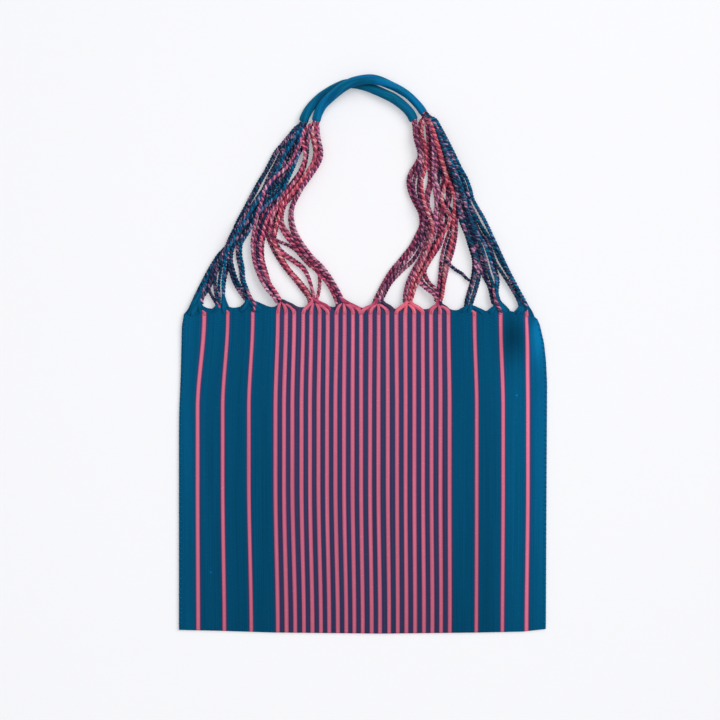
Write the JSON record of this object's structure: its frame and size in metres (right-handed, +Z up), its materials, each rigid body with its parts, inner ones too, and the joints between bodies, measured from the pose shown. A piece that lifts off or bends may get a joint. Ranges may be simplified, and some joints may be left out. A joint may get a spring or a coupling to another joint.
{
  "type": "woven tote bag with string-net handles",
  "caption": "Flat woven cloth tote bag; twisted strings run in nets from its mouth into thread-wrapped handles. Lies flat on its back.",
  "frame": {"origin": "on the floor, under the middle of the bounding box", "axes": "+X across the bag, +Y from the bottom fold up to the handles, +Z up from the floor it lies on"},
  "size_m": [0.401, 0.608, 0.0202],
  "materials": {
    "striped_cloth": "hand-woven matt cotton, teal with coral warp stripes",
    "seam_thread": "matt teal cotton thread, overcast",
    "handle_wrap": "teal cotton thread wrapped close, slight lustre",
    "coral_string": "twisted cotton, coral with dark strands",
    "teal_string": "twisted cotton, teal and navy with coral specks"
  },
  "bodies": {
    "root": {"cloth_pouch": "striped_cloth", "side_seam_left": "seam_thread", "side_seam_right": "seam_thread", "handle_back": "handle_wrap", "handle_front": "handle_wrap", "gather_back_left": "coral_string", "gather_back_right": "coral_string", "strings_back_A": "teal_string", "strings_back_B": "teal_string", "strings_back_C": "teal_string", "strings_back_D": "coral_string", "strings_back_E": "coral_string", "strings_back_F": "coral_string", "strings_back_G": "coral_string", "strings_back_H": "coral_string", "strings_back_I": "coral_string", "strings_back_J": "teal_string", "strings_back_K": "teal_string", "strings_back_L": "teal_string", "gather_front_left": "coral_string", "gather_front_right": "coral_string", "strings_front_A": "teal_string", "strings_front_B": "teal_string", "strings_front_C": "teal_string", "strings_front_D": "coral_string", "strings_front_E": "coral_string", "strings_front_F": "coral_string", "strings_front_G": "coral_string", "strings_front_H": "coral_string", "strings_front_I": "coral_string", "strings_front_J": "teal_string", "strings_front_K": "teal_string", "strings_front_L": "teal_string"}
  },
  "joints": []
}
